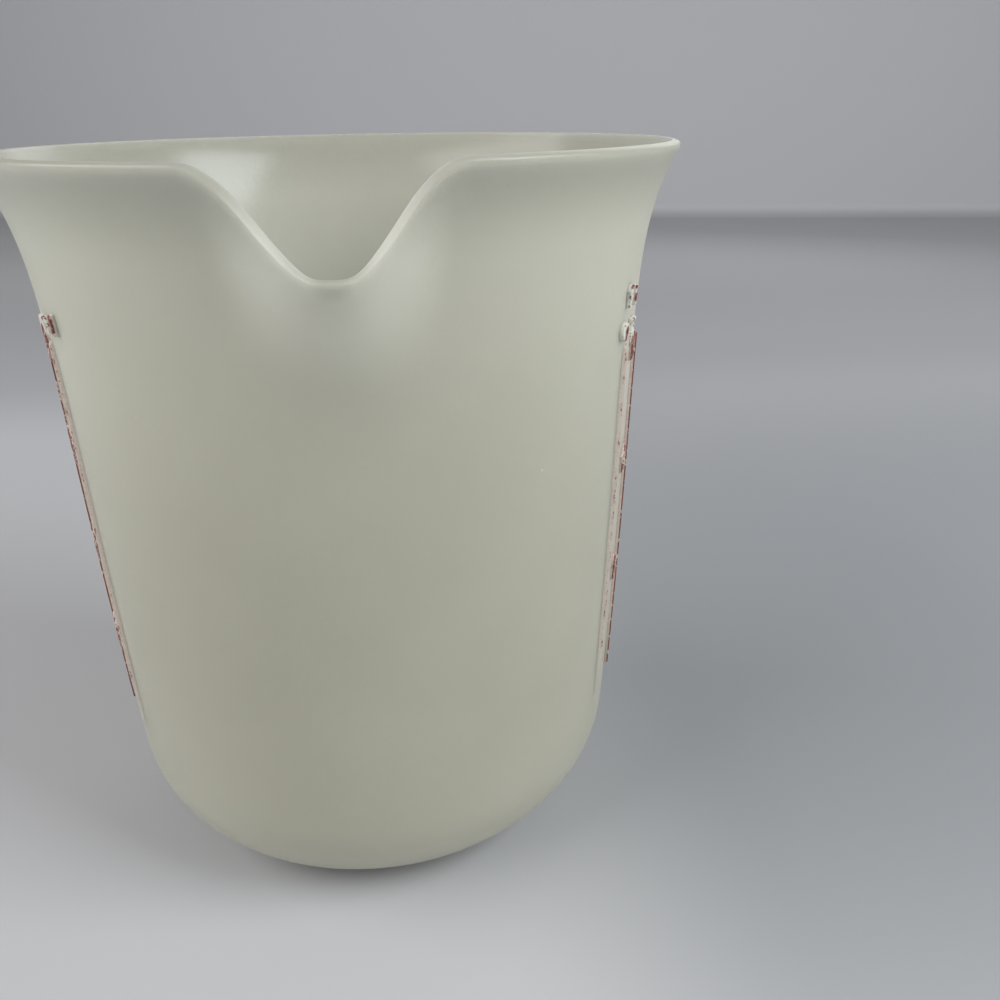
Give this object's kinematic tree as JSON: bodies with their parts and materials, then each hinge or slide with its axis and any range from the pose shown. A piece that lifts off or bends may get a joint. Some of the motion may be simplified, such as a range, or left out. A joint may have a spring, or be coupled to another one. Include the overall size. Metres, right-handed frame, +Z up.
{
  "type": "measuring jug",
  "caption": "Soft translucent measuring jug with a rounded heel, a flared rim, a V-shaped pouring lip and raised red volume scales on two sides.",
  "frame": {"origin": "centre of the flat base, on the surface the jug stands on", "axes": "+Z up, -Y towards the pouring lip, -X towards the millilitre scale, +X towards the ounce scale"},
  "size_m": [0.1058, 0.1056, 0.118],
  "materials": {
    "silicone": "milky translucent silicone, satin",
    "ink": "red printing ink on raised marks"
  },
  "bodies": {
    "root": {"jug_body": "silicone", "ml_number_200_1": "ink", "ml_number_200_2": "ink", "ml_number_200_3": "ink", "ml_number_300_1": "ink", "ml_number_300_2": "ink", "ml_number_300_3": "ink", "ml_number_400_1": "ink", "ml_number_400_2": "ink", "ml_number_400_3": "ink", "ml_number_500_1": "ink", "ml_number_500_2": "ink", "ml_number_500_3": "ink", "ml_rail_1": "ink", "ml_rail_2": "ink", "ml_tick_150": "ink", "ml_tick_200": "ink", "ml_tick_250": "ink", "ml_tick_300": "ink", "ml_tick_350": "ink", "ml_tick_400": "ink", "ml_tick_450": "ink", "ml_tick_500": "ink", "ml_unit_ml_1": "ink", "ml_unit_ml_2": "ink", "oz_number_12_1": "ink", "oz_number_12_2": "ink", "oz_number_16_1": "ink", "oz_number_16_2": "ink", "oz_number_8_1": "ink", "oz_rail_1": "ink", "oz_rail_2": "ink", "oz_tick_10": "ink", "oz_tick_11": "ink", "oz_tick_12": "ink", "oz_tick_13": "ink", "oz_tick_14": "ink", "oz_tick_15": "ink", "oz_tick_16": "ink", "oz_tick_5": "ink", "oz_tick_6": "ink", "oz_tick_7": "ink", "oz_tick_8": "ink", "oz_tick_9": "ink", "oz_unit_fl_1": "ink", "oz_unit_fl_2": "ink", "oz_unit_oz_1": "ink", "oz_unit_oz_2": "ink"}
  },
  "joints": []
}
